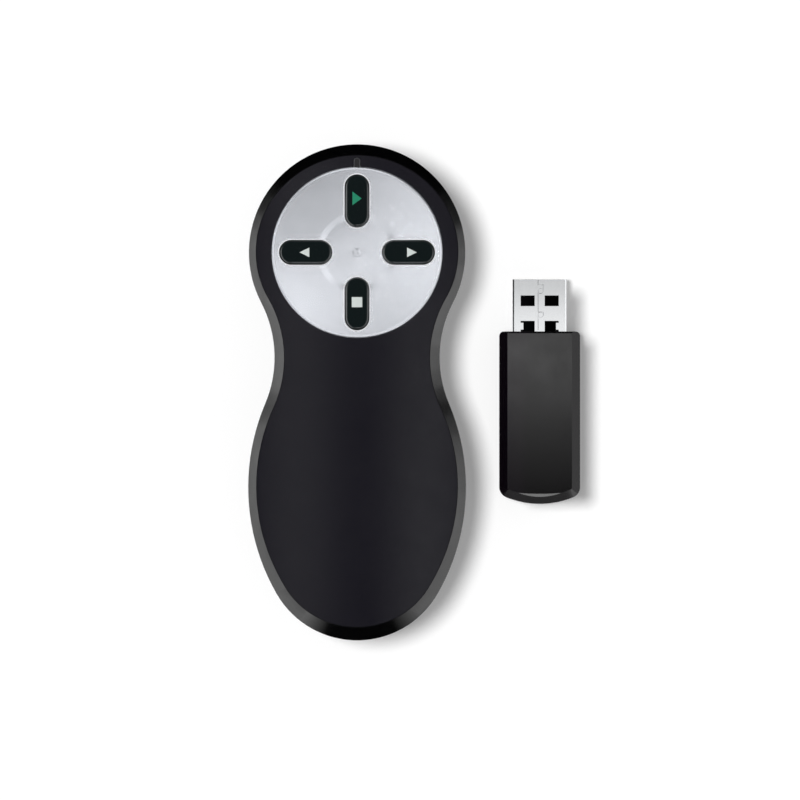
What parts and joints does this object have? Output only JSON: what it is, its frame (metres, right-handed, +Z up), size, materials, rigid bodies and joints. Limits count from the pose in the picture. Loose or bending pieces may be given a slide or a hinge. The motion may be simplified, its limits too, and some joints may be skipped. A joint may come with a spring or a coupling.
{
  "type": "wireless presentation clicker",
  "caption": "Handheld slide clicker with a round thumb disc of four sprung buttons, a slide-off battery door, and a USB receiver that stores in a bay in its tail.",
  "frame": {"origin": "on the handle's flat underside, straight below the centre of the round thumb disc; the handle lies on its back on the table", "axes": "+Z up out of the buttons, +Y along the handle towards its round head, +X to the side where the receiver lies"},
  "size_m": [0.0729, 0.1087, 0.0256],
  "materials": {
    "case_plastic": "fine satin moulded black",
    "gloss_case": "polished black",
    "soft_panel": "soft-touch black, silky",
    "silver_disc": "silver lacquer on a moulded disc, satin",
    "smoked_window": "smoked clear resin",
    "board_laminate": "green solder mask",
    "chip_resin": "matt moulding compound",
    "led_resin": "clear and yellow resin",
    "screw_steel": "zinc plated",
    "nickel_plate": "nickel plated spring steel",
    "cell_can": "printed sleeve over the can, bare metal ends",
    "button_plastic": "polished black with a printed mark",
    "plunger_resin": "natural resin",
    "switch_body": "black moulded body",
    "receiver_plastic": "satin black, polished bevels",
    "plug_steel": "nickel plated folded sheet",
    "plug_resin": "black moulded insulator",
    "gold_plate": "gold flash"
  },
  "bodies": {
    "handle": {"bottom_case": "case_plastic", "upper_case": "gloss_case", "top_panel": "soft_panel", "thumb_disc": "silver_disc", "light_guide": "smoked_window", "circuit_board": "board_laminate", "radio_chip": "chip_resin", "crystal": "nickel_plate", "board_passives": "chip_resin", "status_led": "led_resin", "board_screws": "screw_steel", "case_screws": "screw_steel", "cell_left": "cell_can", "cell_right": "cell_can", "contact_left": "nickel_plate", "contact_right": "nickel_plate", "contact_bridge": "nickel_plate", "spring_left": "nickel_plate", "spring_right": "nickel_plate", "play_switch": "switch_body", "next_switch": "switch_body", "back_switch": "switch_body", "stop_switch": "switch_body"},
    "play_key": {"play_button": "button_plastic", "play_plunger": "plunger_resin"},
    "next_key": {"next_button": "button_plastic", "next_plunger": "plunger_resin"},
    "back_key": {"back_button": "button_plastic", "back_plunger": "plunger_resin"},
    "stop_key": {"stop_button": "button_plastic", "stop_plunger": "plunger_resin"},
    "battery_door": {"battery_door": "case_plastic"},
    "receiver": {"receiver_upper_shell": "receiver_plastic", "receiver_lower_shell": "receiver_plastic", "receiver_board": "board_laminate", "receiver_chip": "chip_resin", "plug_shell": "plug_steel", "plug_insulator": "plug_resin", "plug_contacts": "gold_plate"}
  },
  "joints": [
    {"name": "play_press", "type": "slide", "parent": "handle", "child": "play_key", "axis": [0, 0, -1], "range_m": [0, 0.0005], "stiffness_N_per_m": 600},
    {"name": "next_press", "type": "slide", "parent": "handle", "child": "next_key", "axis": [0, 0, -1], "range_m": [0, 0.0005], "stiffness_N_per_m": 600},
    {"name": "back_press", "type": "slide", "parent": "handle", "child": "back_key", "axis": [0, 0, -1], "range_m": [0, 0.0005], "stiffness_N_per_m": 600},
    {"name": "stop_press", "type": "slide", "parent": "handle", "child": "stop_key", "axis": [0, 0, -1], "range_m": [0, 0.0005], "stiffness_N_per_m": 600},
    {"name": "battery_door_slide", "type": "slide", "parent": "handle", "child": "battery_door", "axis": [0, -1, 0], "range_m": [0, 0.058]},
    {"name": "receiver_lift", "type": "slide", "parent": "handle", "child": "receiver", "axis": [0, 0, 1], "range_m": [0, 0.05]}
  ]
}
